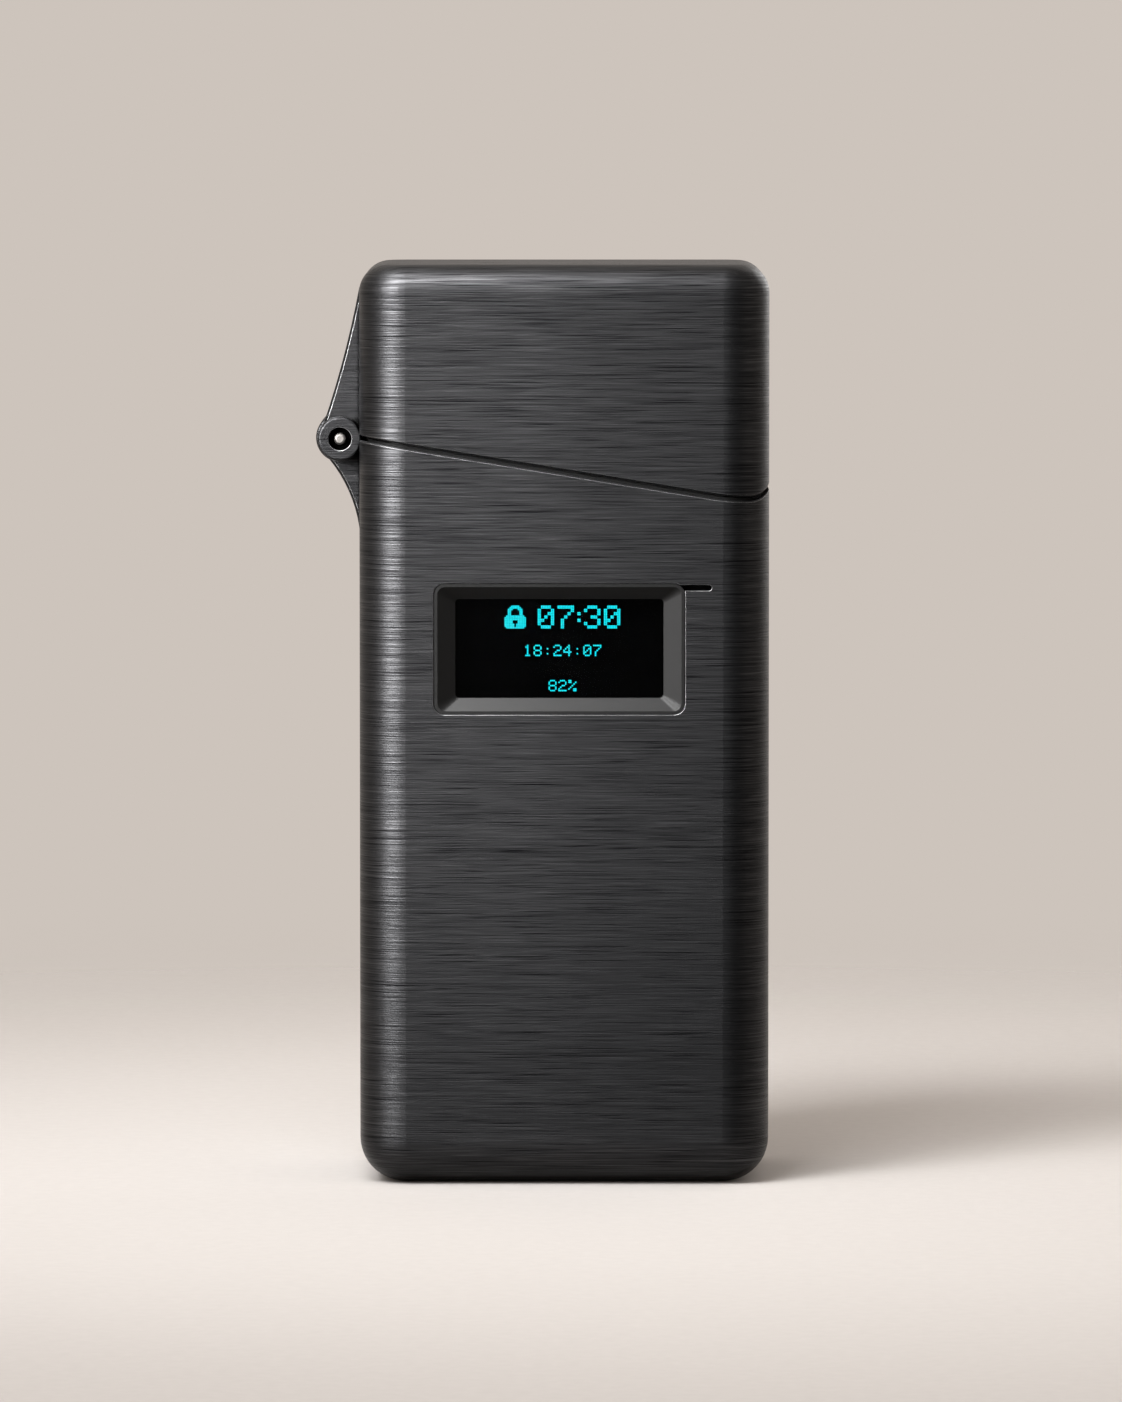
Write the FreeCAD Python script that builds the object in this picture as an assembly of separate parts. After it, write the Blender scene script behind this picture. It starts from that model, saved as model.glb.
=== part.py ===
import FreeCAD, Part
import math
import os

# Timed lock container: an upright case with a display, a lid on a pinned side
# hinge, and a motor-driven latch that holds the lid's hook.
# Millimetres. X runs to the right, Y to the back, Z up. The origin is the
# centre of the underside.

# ---- Case ----
body_width = 57.0
body_depth = 36.0
total_height = 128.0
wall = 2.4
vertical_edge_radius = 6.5
top_edge_radius = 3.9
base_edge_radius = 6.2
least_inner_radius = 0.5
edge_break = 0.2

# ---- Parting line: slopes down from the hinge, levels out, hooks up at the edge ----
lip_left_height = 103.62
lip_slope = 9.16
lip_level_inset = 2.7
lip_sweep_radius = 33.0
lip_hook_radius = 3.1
lip_hook_turn = 60.0
parting_gap = 0.64
seal_thickness = 0.34
seal_inset = 1.3

# ---- Hinge at the left wall ----
hinge_offset = 2.7
hinge_rise = 0.05
hinge_length = 23.0
knuckle_count = 5
knuckle_gap = 0.3
lid_knuckle_radius = 3.1
body_knuckle_radius = 3.45
knuckle_relief = 0.35
knuckle_edge_radius = 0.4
pin_radius = 0.875
pin_running_fit = 0.05
pin_recess = 0.7
pin_end_radius = 0.45
counterbore_radius = 1.63
counterbore_depth = 2.4
ear_root = 1.0
ear_setback = 0.7
ear_edge_break = 0.35
lid_ear_rise = 21.1
lid_ear_belly_out = 2.3
lid_ear_belly_rise = 11.0
lid_ear_heel_angle = 42.0
body_ear_drop = 13.6
body_ear_belly_out = 2.2
body_ear_belly_drop = 6.2
body_ear_heel_angle = 63.0

# ---- Display ----
display_height = 74.81
display_shift = -0.68
window_width = 28.9
window_height = 13.75
window_corner_radius = 0.55
bezel_border_x = 2.9
bezel_border_z = 2.16
bezel_corner_radius = 1.45
bezel_fit = 0.12
bezel_face_recess = 0.05
bezel_face_land = 0.35
bezel_flange = 1.2
bezel_flange_thickness = 0.9
bezel_slope_depth = 1.45
lens_thickness = 0.9
lens_lap = 0.8
lens_fit = 0.1
lens_corner_radius = 0.8
panel_border_x = 2.8
panel_border_z = 3.425
panel_thickness = 1.4
board_thickness = 1.0
board_border_x = 0.45
board_border_z = 3.6
display_board_radius = 1.0
display_screw_inset = 1.9
display_boss_radius = 1.6
sensor_arm_width = 6.0
sensor_arm_height = 7.4
sensor_arm_shift = -10.5
sensor_size = 3.0
sensor_thickness = 1.2
slot_width = 5.2
slot_height = 0.85
slot_depth = 1.6
slot_drop = 0.1

# ---- Storage pocket ----
liner_wall = 1.4
liner_clearance = 0.35
pocket_floor_height = 22.0
front_bay_depth = 7.2
rim_height = 2.2
deck_thickness = 1.2
deck_drop = 0.4
ledge_reach = 1.8
ledge_height = 2.0
ledge_length = 16.0

# ---- Lid interior ----
lid_liner_wall = 1.2
lid_liner_clearance = 0.2
lid_rim_clearance = 0.9
magnet_radius = 2.0
magnet_length = 3.0
magnet_fit = 0.02
magnet_holder = 6.2
magnet_holder_height = 5.0

# ---- Latch ----
lock_depth = 8.0
motor_radius = 3.0
motor_length = 22.0
motor_boss_radius = 1.25
motor_boss_height = 0.8
shaft_radius = 0.75
shaft_fit = 0.05
shaft_seat = 2.0
shaft_end_gap = 0.3
hub_radius = 1.5
hub_lead = 5.4
cam_width = 1.8
cam_thickness = 2.4
hook_thickness = 1.2
hook_wall_clearance = 0.6
hook_foot_height = 1.4
hook_play = 0.3
hook_arm_width = 2.5
hook_arm_gap = 0.6
hook_slot_side = 0.3
hook_plate_width = 11.0
hook_plate_height = 8.0
hook_plate_shift = 2.0
hook_plate_rise = 7.0
hook_boss_radius = 2.0
cradle_depth = 5.4
cradle_grip = 16.0
cradle_fit = 0.1
cradle_seat = 1.8
cradle_side = 1.6
saddle_wall = 1.2
cradle_screw_spread = 2.5
lead_radius = 0.4
lead_spacing = 1.2

# ---- Battery ----
battery_width = 30.0
battery_height = 34.0
battery_thickness = 5.0
battery_base = 24.0
battery_shift = -1.0
battery_corner_radius = 1.2
pad_thickness = 0.8
pad_margin = 4.0

# ---- Control board in the base ----
main_board_side_gap = 3.6
main_board_front_gap = 2.6
main_board_back_gap = 1.8
main_board_radius = 3.0
main_board_height = 6.4
main_board_thickness = 1.2
board_post_radius = 1.8
board_post_inset = 2.3
board_post_y = 7.6
module_width = 18.0
module_length = 11.5
module_clearance = 0.4
module_thickness = 3.2
module_shift = -4.0
buzzer_radius = 4.5
buzzer_height = 4.5
buzzer_inset = 9.0
flex_width = 8.0
flex_thickness = 0.25
flex_clearance = 0.35
connector_height = 3.0
connector_length = 4.6
connector_depth = 2.4
usb_width = 8.94
usb_height = 3.26
usb_length = 7.3
usb_shell = 0.3
usb_tongue_width = 6.6
usb_tongue_thickness = 0.7
usb_tongue_length = 4.6
usb_cavity_depth = 6.5
usb_x = -9.0
usb_port_width = 9.6
usb_port_height = 4.0
wall_standoff = 0.3

# ---- Set button in the rear wall ----
button_x = 9.0
button_radius = 2.1
button_fit = 0.08
button_proud = 0.3
button_flange_radius = 2.9
button_flange_thickness = 0.8
button_flange_gap = 0.1
button_travel = 0.4
button_crown = 0.25
switch_width = 4.6
switch_depth = 3.4
switch_height = 3.8
button_nib_radius = 0.7
button_nib_length = 0.8
switch_stop_gap = 0.1

# ---- Underside ----
cover_margin_x = 3.0
cover_margin_y = 0.3
cover_radius = 3.0
cover_thickness = 1.2
cover_fit = 0.15
cover_recess = 0.2
cover_land_x = 2.0
cover_land_y = 3.8
cover_screw_inset_x = 4.5
cover_screw_inset_y = 1.8
cover_boss_height = 3.0

# ---- Small screws ----
screw_radius = 0.8
screw_length = 4.0
screw_head_radius = 1.4
screw_head_height = 0.9
screw_hole_fit = 0.15
screw_drive_radius = 0.6
screw_drive_depth = 0.5

# ---- Worked out from the sizes above ----
cover_width = body_width - 2 * (base_edge_radius + cover_margin_x)
cover_depth = body_depth - 2 * (base_edge_radius + cover_margin_y)
half_width = body_width / 2
half_depth = body_depth / 2
inner_side = half_width - wall
inner_front = -half_depth + wall
inner_back = half_depth - wall
hinge_x = -half_width - hinge_offset
hinge_z = lip_left_height + hinge_rise
liner_front = inner_front + front_bay_depth
level_x = half_width - lip_level_inset

bezel_width = window_width + 2 * bezel_border_x
bezel_height = window_height + 2 * bezel_border_z
panel_width = window_width + 2 * panel_border_x
panel_height = window_height + 2 * panel_border_z
display_board_width = panel_width + 2 * board_border_x
display_board_height = panel_height + 2 * board_border_z
window_left = display_shift - window_width / 2
window_right = display_shift + window_width / 2
window_low = display_height - window_height / 2
window_high = display_height + window_height / 2
lens_back = inner_front
lens_front = lens_back - lens_thickness
flange_back = inner_front + bezel_flange_thickness
panel_back = flange_back + panel_thickness
display_board_back = panel_back + board_thickness
display_board_right = display_shift + display_board_width / 2
display_board_low = display_height - display_board_height / 2
display_board_high = display_height + display_board_height / 2

battery_front = inner_front + pad_thickness
battery_back = battery_front + battery_thickness
battery_lead_x = battery_shift - battery_width / 4
battery_lead_y = (battery_front + battery_back) / 2

main_board_width = 2 * (inner_side - main_board_side_gap)
main_board_front = inner_front + main_board_front_gap
main_board_back = inner_back - main_board_back_gap
main_board_top = main_board_height + main_board_thickness
board_post_x = main_board_width / 2 - board_post_inset
buzzer_x = main_board_width / 2 - buzzer_inset
flex_y = battery_back + flex_clearance + flex_thickness / 2
module_front = flex_y + connector_depth / 2 + module_clearance
usb_z = main_board_top + usb_height / 2
button_z = main_board_top + switch_height / 2
button_flange_back = inner_back - button_flange_gap
button_flange_front = button_flange_back - button_flange_thickness
switch_back = button_flange_front - button_nib_length - button_travel - switch_stop_gap


# ---- Plain shapes ----
def box(x0, x1, y0, y1, z0, z1):
    return Part.makeBox(x1 - x0, y1 - y0, z1 - z0, FreeCAD.Vector(x0, y0, z0))


def rod_y(x, z, y0, y1, radius):
    return Part.makeCylinder(radius, y1 - y0, FreeCAD.Vector(x, y0, z), FreeCAD.Vector(0, 1, 0))


def rod_z(x, y, z0, z1, radius):
    return Part.makeCylinder(radius, z1 - z0, FreeCAD.Vector(x, y, z0), FreeCAD.Vector(0, 0, 1))


def at_height(z):
    return lambda x, y: FreeCAD.Vector(x, y, z)


def at_depth(y):
    return lambda x, z: FreeCAD.Vector(x, y, z)


def face_of(curves):
    return Part.Face(Part.Wire([curve.toShape() for curve in curves]))


def rounded_face(u0, u1, v0, v1, radius, place):
    """Rectangle with round corners; place turns its two coordinates into a point."""
    line = Part.LineSegment
    nip = radius * (1 - math.sqrt(0.5))
    a = u0 + radius
    b = u1 - radius
    c = v0 + radius
    d = v1 - radius
    return face_of([
        line(place(a, v0), place(b, v0)),
        Part.Arc(place(b, v0), place(u1 - nip, v0 + nip), place(u1, c)),
        line(place(u1, c), place(u1, d)),
        Part.Arc(place(u1, d), place(u1 - nip, v1 - nip), place(b, v1)),
        line(place(b, v1), place(a, v1)),
        Part.Arc(place(a, v1), place(u0 + nip, v1 - nip), place(u0, d)),
        line(place(u0, d), place(u0, c)),
        Part.Arc(place(u0, c), place(u0 + nip, v0 + nip), place(a, v0)),
    ])


def pad_z(x0, x1, y0, y1, z0, z1, radius):
    return rounded_face(x0, x1, y0, y1, radius, at_height(z0)).extrude(FreeCAD.Vector(0, 0, z1 - z0))


def pad_y(x0, x1, z0, z1, y0, y1, radius):
    return rounded_face(x0, x1, z0, z1, radius, at_depth(y0)).extrude(FreeCAD.Vector(0, y1 - y0, 0))


def display_pad(width, height, y0, y1, radius):
    """Rounded plate centred on the display."""
    return pad_y(display_shift - width / 2, display_shift + width / 2,
                 display_height - height / 2, display_height + height / 2, y0, y1, radius)


def edges_where(shape, test):
    return [edge for edge in shape.Edges if all(test(vertex.Point) for vertex in edge.Vertexes)]


def save(node, shape):
    shape.exportStep("parts/" + node + ".step")


# ---- The case's outer form and its parting line ----
def case_form(inset):
    """The case's rounded outer form, taken in by inset on every side."""
    low = inset
    high = total_height - inset
    form = pad_z(-half_width + inset, half_width - inset, -half_depth + inset, half_depth - inset,
                 low, high, max(vertical_edge_radius - inset, least_inner_radius))
    top_radius = max(top_edge_radius - inset, least_inner_radius)
    form = form.makeFillet(top_radius, edges_where(form, lambda p: abs(p.z - high) < 1e-6))
    base_radius = max(base_edge_radius - inset, least_inner_radius)
    return form.makeFillet(base_radius, edges_where(form, lambda p: abs(p.z - low) < 1e-6))


slope = math.radians(lip_slope)
hook_turn = math.radians(lip_hook_turn)


def sloping_height(x):
    return lip_left_height - (x + half_width) * math.tan(slope)


sweep_start_x = level_x - lip_sweep_radius * math.sin(slope)
level_height = sloping_height(sweep_start_x) - lip_sweep_radius * (1 - math.cos(slope))


def lip_height(x):
    """Height of the body's lip at x."""
    if x < sweep_start_x:
        return sloping_height(x)
    if x < level_x:
        return level_height + lip_sweep_radius - math.sqrt(lip_sweep_radius ** 2 - (level_x - x) ** 2)
    return level_height + lip_hook_radius - math.sqrt(lip_hook_radius ** 2 - (x - level_x) ** 2)


def parting_prism(lift, far_z):
    """All that lies between the lip's curve, raised by lift, and far_z."""
    y = -body_depth
    far_x = -body_width
    run = lip_hook_radius
    turned_x = level_x + lip_hook_radius * math.sin(hook_turn)
    exit_x = turned_x + run * math.cos(hook_turn)
    exit_z = lip_height(turned_x) + run * math.sin(hook_turn)
    half_sweep_x = level_x - lip_sweep_radius * math.sin(slope / 2)
    half_hook_x = level_x + lip_hook_radius * math.sin(hook_turn / 2)

    def on_lip(x):
        return FreeCAD.Vector(x, y, lip_height(x) + lift)

    far_left = FreeCAD.Vector(far_x, y, far_z)
    far_right = FreeCAD.Vector(exit_x, y, far_z)
    leaving = FreeCAD.Vector(exit_x, y, exit_z + lift)
    face = face_of([
        Part.LineSegment(on_lip(far_x), on_lip(sweep_start_x)),
        Part.Arc(on_lip(sweep_start_x), on_lip(half_sweep_x), on_lip(level_x)),
        Part.Arc(on_lip(level_x), on_lip(half_hook_x), on_lip(turned_x)),
        Part.LineSegment(on_lip(turned_x), leaving),
        Part.LineSegment(leaving, far_right),
        Part.LineSegment(far_right, far_left),
        Part.LineSegment(far_left, on_lip(far_x)),
    ])
    return face.extrude(FreeCAD.Vector(0, 2 * body_depth, 0))


def above_lip(lift):
    return parting_prism(lift, total_height + body_width)


def below_lip(lift):
    return parting_prism(lift, -body_width)


def break_lip_edges(shell, lift):
    """Small chamfer round the outside of a lip."""
    outside = case_form(0).Shells[0]

    def on_outer_lip(point):
        near_lip = abs(point.z - lip_height(min(point.x, half_width)) - lift) < 0.01
        return near_lip and outside.distToShape(Part.Vertex(point))[0] < 0.001

    return shell.makeChamfer(edge_break, edges_where(shell, on_outer_lip))


# ---- Hinge ----
def knuckle_spans(first):
    """Front and back of every second knuckle, from the one numbered first."""
    pitch = (hinge_length + knuckle_gap) / knuckle_count
    starts = [-hinge_length / 2 + number * pitch for number in range(first, knuckle_count, 2)]
    return [(start, start + pitch - knuckle_gap) for start in starts]


lid_spans = knuckle_spans(0)
body_spans = knuckle_spans(1)


def ear(y0, y1, side, rise, belly_out, belly_rise, heel_angle, radius):
    """Gusset from the wall to a knuckle; side is 1 above the pin and -1 below."""
    angle = math.radians(heel_angle)
    root_x = -half_width + ear_root
    root_z = hinge_z + side * (hinge_rise + parting_gap)
    place = at_depth(y0)
    tip = place(-half_width, hinge_z + side * rise)
    belly = place(-half_width - belly_out, hinge_z + side * belly_rise)
    heel = place(hinge_x - radius * math.cos(angle), hinge_z + side * radius * math.sin(angle))
    centre = place(hinge_x, hinge_z)
    root_near = place(root_x, root_z)
    root_far = place(root_x, tip.z)
    face = face_of([
        Part.Arc(tip, belly, heel),
        Part.LineSegment(heel, centre),
        Part.LineSegment(centre, root_near),
        Part.LineSegment(root_near, root_far),
        Part.LineSegment(root_far, tip),
    ])
    plate = face.extrude(FreeCAD.Vector(0, y1 - y0, 0))
    outer_edges = [edge for edge in plate.Edges if isinstance(edge.Curve, Part.Circle)]
    return plate.makeChamfer(ear_edge_break, outer_edges)


def knuckle(y0, y1, radius):
    barrel = rod_y(hinge_x, hinge_z, y0, y1, radius)
    rims = [edge for edge in barrel.Edges if isinstance(edge.Curve, Part.Circle)]
    return barrel.makeFillet(knuckle_edge_radius, rims)


def relieve_for(shell, spans, radius):
    for y0, y1 in spans:
        cutter = rod_y(hinge_x, hinge_z, y0 - knuckle_gap, y1 + knuckle_gap, radius + knuckle_relief)
        shell = shell.cut(cutter)
    return shell


def bore_for_pin(shell, fit):
    shell = shell.cut(rod_y(hinge_x, hinge_z, -hinge_length, hinge_length, pin_radius + fit))
    for y0 in (-hinge_length / 2, hinge_length / 2 - counterbore_depth):
        shell = shell.cut(rod_y(hinge_x, hinge_z, y0, y0 + counterbore_depth, counterbore_radius))
    return shell


# ---- Screws ----
to_front = FreeCAD.Vector(0, -1, 0)
upwards = FreeCAD.Vector(0, 0, 1)
downwards = FreeCAD.Vector(0, 0, -1)


def screw(x, y, z, way):
    """Pan-head screw whose head rests at the point; its shank runs along way."""
    seat = FreeCAD.Vector(x, y, z)

    def section(start, length, radius):
        return Part.makeCylinder(radius, length, seat + way * start, way)

    shank = section(0, screw_length, screw_radius)
    head = section(-screw_head_height, screw_head_height, screw_head_radius)
    drive = section(-screw_head_height, screw_drive_depth, screw_drive_radius)
    return shank.fuse(head).cut(drive)


def corners(half_x, half_y):
    return [(sx * half_x, sy * half_y) for sx in (-1, 1) for sy in (-1, 1)]


# ---- Places that several pieces share ----
display_screw_x = display_board_width / 2 - display_screw_inset
display_screw_z = display_board_height / 2 - display_screw_inset
display_screw_places = [(display_shift + x, display_height + z)
                        for x, z in corners(display_screw_x, display_screw_z)]

board_screw_places = corners(board_post_x, board_post_y)
cover_screw_places = corners(cover_width / 2 - cover_screw_inset_x, cover_depth / 2 - cover_screw_inset_y)

motor_x = (display_board_right + inner_side) / 2
motor_y = (inner_front + liner_front) / 2
cam_low = level_height - lock_depth
cam_high = cam_low + cam_thickness
motor_top = cam_low - hub_lead - motor_boss_height
motor_low = motor_top - motor_length

hook_back = liner_front - hook_wall_clearance
hook_front = hook_back - hook_thickness
cam_length = hook_back - motor_y
foot_top = cam_low - hook_play
foot_low = foot_top - hook_foot_height
foot_right = motor_x + cam_width / 2
arm_right = motor_x - cam_width / 2 - hook_arm_gap
arm_left = arm_right - hook_arm_width
plate_low = lip_height(arm_left) + hook_plate_rise
plate_high = plate_low + hook_plate_height
plate_left = arm_left - hook_plate_shift - hook_arm_width
plate_right = plate_left + hook_plate_width
hook_screw_z = (plate_low + plate_high) / 2
hook_screw_places = [(plate_left + hook_boss_radius, hook_screw_z),
                     (plate_right - hook_boss_radius, hook_screw_z)]

sensor_x = display_shift + sensor_arm_shift
sensor_z = display_board_high + sensor_arm_height - sensor_size / 2
magnet_y = panel_back + board_thickness + sensor_thickness / 2
magnet_low = lip_height(sensor_x - magnet_holder / 2) + parting_gap + rim_height + lid_rim_clearance

cradle_low = motor_low + cradle_seat - cradle_depth
cradle_screw_z = (cradle_low + motor_low) / 2
cradle_screw_places = [(motor_x + side * cradle_screw_spread, cradle_screw_z) for side in (-1, 1)]
cradle_screw_seat = inner_front + screw_length - wall / 2


# ---- Body shell ----
def body_shell():
    shell = case_form(0).cut(case_form(wall)).cut(above_lip(0))
    shell = break_lip_edges(shell, 0)
    shell = shell.fuse(inside_body_features())
    shell = relieve_for(shell, lid_spans, lid_knuckle_radius)
    for y0, y1 in body_spans:
        shell = shell.fuse(knuckle(y0, y1, body_knuckle_radius))
        shell = shell.fuse(ear(y0, y1, -1, body_ear_drop, body_ear_belly_out, body_ear_belly_drop,
                               body_ear_heel_angle, body_knuckle_radius))
    shell = bore_for_pin(shell, 0)
    return cut_body_openings(shell).removeSplitter()


def inside_body_features():
    """Ledges for the pocket liner, bosses and posts for the screws."""
    ledge_top = pocket_floor_height - liner_wall
    ledge_mid = (liner_front + inner_back) / 2
    features = []
    for side in (-1, 1):
        near = side * (inner_side - ledge_reach)
        far = side * (inner_side + wall / 2)
        features.append(box(min(near, far), max(near, far), ledge_mid - ledge_length / 2,
                            ledge_mid + ledge_length / 2, ledge_top - ledge_height, ledge_top))
    for x, z in display_screw_places:
        features.append(rod_y(x, z, inner_front - wall / 2, panel_back, display_boss_radius))
    for x, y in board_screw_places:
        features.append(rod_z(x, y, wall / 2, main_board_height, board_post_radius))
    for x, y in cover_screw_places:
        features.append(rod_z(x, y, wall / 2, wall + cover_boss_height, board_post_radius))
    return features[0].multiFuse(features[1:])


def cut_body_openings(shell):
    opening_width = bezel_width + 2 * bezel_fit
    opening_height = bezel_height + 2 * bezel_fit
    shell = shell.cut(display_pad(opening_width, opening_height, -half_depth - wall, inner_front,
                                  bezel_corner_radius + bezel_fit))
    shell = shell.cut(side_slot())
    for x, z in display_screw_places:
        shell = shell.cut(rod_y(x, z, display_board_back - screw_length, panel_back,
                                screw_radius))
    for x, y in board_screw_places:
        shell = shell.cut(rod_z(x, y, main_board_top - screw_length, main_board_height,
                                screw_radius))
    for x, z in cradle_screw_places:
        shell = shell.cut(rod_y(x, z, inner_front - wall / 2, cradle_screw_seat, screw_radius))
    shell = shell.cut(underside_cut())
    shell = shell.cut(pad_y(usb_x - usb_port_width / 2, usb_x + usb_port_width / 2,
                            usb_z - usb_port_height / 2, usb_z + usb_port_height / 2,
                            inner_back - wall, half_depth + wall, usb_port_height / 2 - least_inner_radius))
    return shell.cut(rod_y(button_x, button_z, inner_back - wall, half_depth + wall,
                           button_radius + button_fit))


def side_slot():
    """Narrow slot beside the bezel's upper right corner, round at its far end."""
    left = display_shift + bezel_width / 2 - bezel_corner_radius
    right = display_shift + bezel_width / 2 + slot_width - bezel_corner_radius
    high = display_height + bezel_height / 2 - slot_drop
    return pad_y(left, right, high - slot_height, high, -half_depth - wall, -half_depth + slot_depth,
                 slot_height / 2 - bezel_face_recess)


def underside_cut():
    """Recess for the base cover, the opening above it and the cover's screw holes."""
    recess_x = cover_width / 2 + cover_fit
    recess_y = cover_depth / 2 + cover_fit
    recess_top = cover_recess + cover_thickness
    cut = pad_z(-recess_x, recess_x, -recess_y, recess_y, -wall, recess_top, cover_radius)
    hole_x = cover_width / 2 - cover_land_x
    hole_y = cover_depth / 2 - cover_land_y
    cut = cut.fuse(pad_z(-hole_x, hole_x, -hole_y, hole_y, -wall, wall + wall / 2, cover_radius))
    for x, y in cover_screw_places:
        cut = cut.fuse(rod_z(x, y, cover_recess, cover_recess + screw_head_height + screw_length,
                             screw_radius))
    return cut


# ---- Lid shell ----
def lid_shell():
    shell = case_form(0).cut(case_form(wall)).cut(below_lip(parting_gap))
    shell = break_lip_edges(shell, parting_gap)
    shell = shell.fuse(inside_lid_features())
    shell = relieve_for(shell, body_spans, body_knuckle_radius)
    for number, (y0, y1) in enumerate(lid_spans):
        front = y0 + ear_setback if number == 0 else y0
        back = y1 - ear_setback if number == len(lid_spans) - 1 else y1
        shell = shell.fuse(knuckle(y0, y1, lid_knuckle_radius))
        shell = shell.fuse(ear(front, back, 1, lid_ear_rise, lid_ear_belly_out, lid_ear_belly_rise,
                               lid_ear_heel_angle, lid_knuckle_radius))
    shell = bore_for_pin(shell, pin_running_fit)
    return shell.removeSplitter()


def inside_lid_features():
    """Bosses that carry the lid hook, and the magnet's holder."""
    features = []
    for x, z in hook_screw_places:
        boss = rod_y(x, z, inner_front - wall / 2, hook_front, hook_boss_radius)
        hole = rod_y(x, z, hook_back - screw_length, hook_front, screw_radius)
        features.append(boss.cut(hole))
    half = magnet_holder / 2
    holder = box(sensor_x - half, sensor_x + half, inner_front - wall / 2, magnet_y + half,
                 magnet_low, magnet_low + magnet_holder_height)
    features.append(holder.cut(rod_z(sensor_x, magnet_y, magnet_low, magnet_low + magnet_length,
                                     magnet_radius + magnet_fit)))
    return features[0].multiFuse(features[1:])


# ---- Display ----
def bezel():
    face_y = -half_depth + bezel_face_recess
    slope_back = face_y + bezel_slope_depth
    frame = display_pad(bezel_width, bezel_height, face_y, inner_front, bezel_corner_radius)
    flange = display_pad(bezel_width + 2 * bezel_flange, bezel_height + 2 * bezel_flange,
                         inner_front, flange_back, bezel_corner_radius)
    frame = frame.fuse(flange)
    lip = bezel_face_land
    mouth = rounded_face(display_shift - bezel_width / 2 + lip, display_shift + bezel_width / 2 - lip,
                         display_height - bezel_height / 2 + lip, display_height + bezel_height / 2 - lip,
                         bezel_corner_radius - lip, at_depth(face_y - bezel_face_recess))
    throat = rounded_face(window_left, window_right, window_low, window_high,
                          window_corner_radius, at_depth(slope_back))
    funnel = Part.makeLoft([mouth.OuterWire, throat.OuterWire], True, True)
    frame = frame.cut(funnel)
    frame = frame.cut(display_pad(window_width, window_height, face_y, flange_back, window_corner_radius))
    lens_pocket = display_pad(window_width + 2 * lens_lap, window_height + 2 * lens_lap,
                              lens_front, flange_back, lens_corner_radius)
    return frame.cut(lens_pocket).removeSplitter()


def display_lens():
    return display_pad(window_width + 2 * (lens_lap - lens_fit), window_height + 2 * (lens_lap - lens_fit),
                       lens_front, lens_back, lens_corner_radius)


def lens_gasket():
    outer = display_pad(window_width + 2 * (lens_lap - lens_fit), window_height + 2 * (lens_lap - lens_fit),
                        lens_back, flange_back, lens_corner_radius)
    return outer.cut(display_pad(window_width, window_height, lens_back, flange_back, window_corner_radius))


def oled_glass():
    return display_pad(panel_width, panel_height, flange_back, panel_back, window_corner_radius)


def display_board():
    board = display_pad(display_board_width, display_board_height, panel_back, display_board_back,
                        display_board_radius)
    arm = box(sensor_x - sensor_arm_width / 2, sensor_x + sensor_arm_width / 2, panel_back,
              display_board_back, display_board_high - display_board_radius,
              display_board_high + sensor_arm_height)
    board = board.fuse(arm)
    for x, z in display_screw_places:
        board = board.cut(rod_y(x, z, panel_back, display_board_back, screw_radius + screw_hole_fit))
    return board.removeSplitter()


def display_screws():
    return Part.makeCompound([screw(x, display_board_back, z, to_front) for x, z in display_screw_places])


def lid_sensor():
    half = sensor_size / 2
    return box(sensor_x - half, sensor_x + half, display_board_back, display_board_back + sensor_thickness,
               sensor_z - half, sensor_z + half)


def display_flex():
    """Flat ribbon: down the board's rear face, back over the battery and down to its plug."""
    near_y = display_board_back + flex_clearance
    far_y = battery_back + flex_clearance
    turn_top = display_board_low + connector_height
    turn_low = turn_top - (far_y - near_y)
    left = display_shift - flex_width / 2

    def one_side(shift):
        return [FreeCAD.Vector(left, near_y + shift, turn_top + connector_height),
                FreeCAD.Vector(left, near_y + shift, turn_top),
                FreeCAD.Vector(left, far_y + shift, turn_low),
                FreeCAD.Vector(left, far_y + shift, main_board_top + connector_height)]

    outline = one_side(0) + one_side(flex_thickness)[::-1]
    face = Part.Face(Part.makePolygon(outline + outline[:1]))
    return face.extrude(FreeCAD.Vector(flex_width, 0, 0))


# ---- Battery ----
def battery():
    return pad_y(battery_shift - battery_width / 2, battery_shift + battery_width / 2,
                 battery_base, battery_base + battery_height, battery_front, battery_back,
                 battery_corner_radius)


def battery_pad():
    half = battery_width / 2 - pad_margin
    return box(battery_shift - half, battery_shift + half, inner_front, battery_front,
               battery_base + pad_margin, battery_base + battery_height - pad_margin)


def leads(x, y, top, low):
    pair = [rod_z(x + side * lead_spacing / 2, y, low, top, lead_radius) for side in (-1, 1)]
    return Part.makeCompound(pair)


# ---- Latch ----
def lock_motor():
    can = rod_z(motor_x, motor_y, motor_low, motor_top, motor_radius)
    boss = rod_z(motor_x, motor_y, motor_top, motor_top + motor_boss_height, motor_boss_radius)
    bore = rod_z(motor_x, motor_y, motor_top - shaft_seat - shaft_end_gap,
                 motor_top + motor_boss_height, shaft_radius + shaft_fit)
    return can.fuse(boss).cut(bore).removeSplitter()


def lock_shaft():
    return rod_z(motor_x, motor_y, motor_top - shaft_seat, cam_high, shaft_radius)


def lock_cam():
    """Lever on the motor's shaft; it points to the right while the lid is free."""
    hub = rod_z(motor_x, motor_y, cam_low, cam_high, hub_radius)
    tip_x = motor_x + cam_length - cam_width / 2
    arm = box(motor_x, tip_x, motor_y - cam_width / 2, motor_y + cam_width / 2, cam_low, cam_high)
    tip = rod_z(tip_x, motor_y, cam_low, cam_high, cam_width / 2)
    lever = hub.fuse(arm).fuse(tip)
    return lever.cut(rod_z(motor_x, motor_y, cam_low, cam_high, shaft_radius)).removeSplitter()


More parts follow.
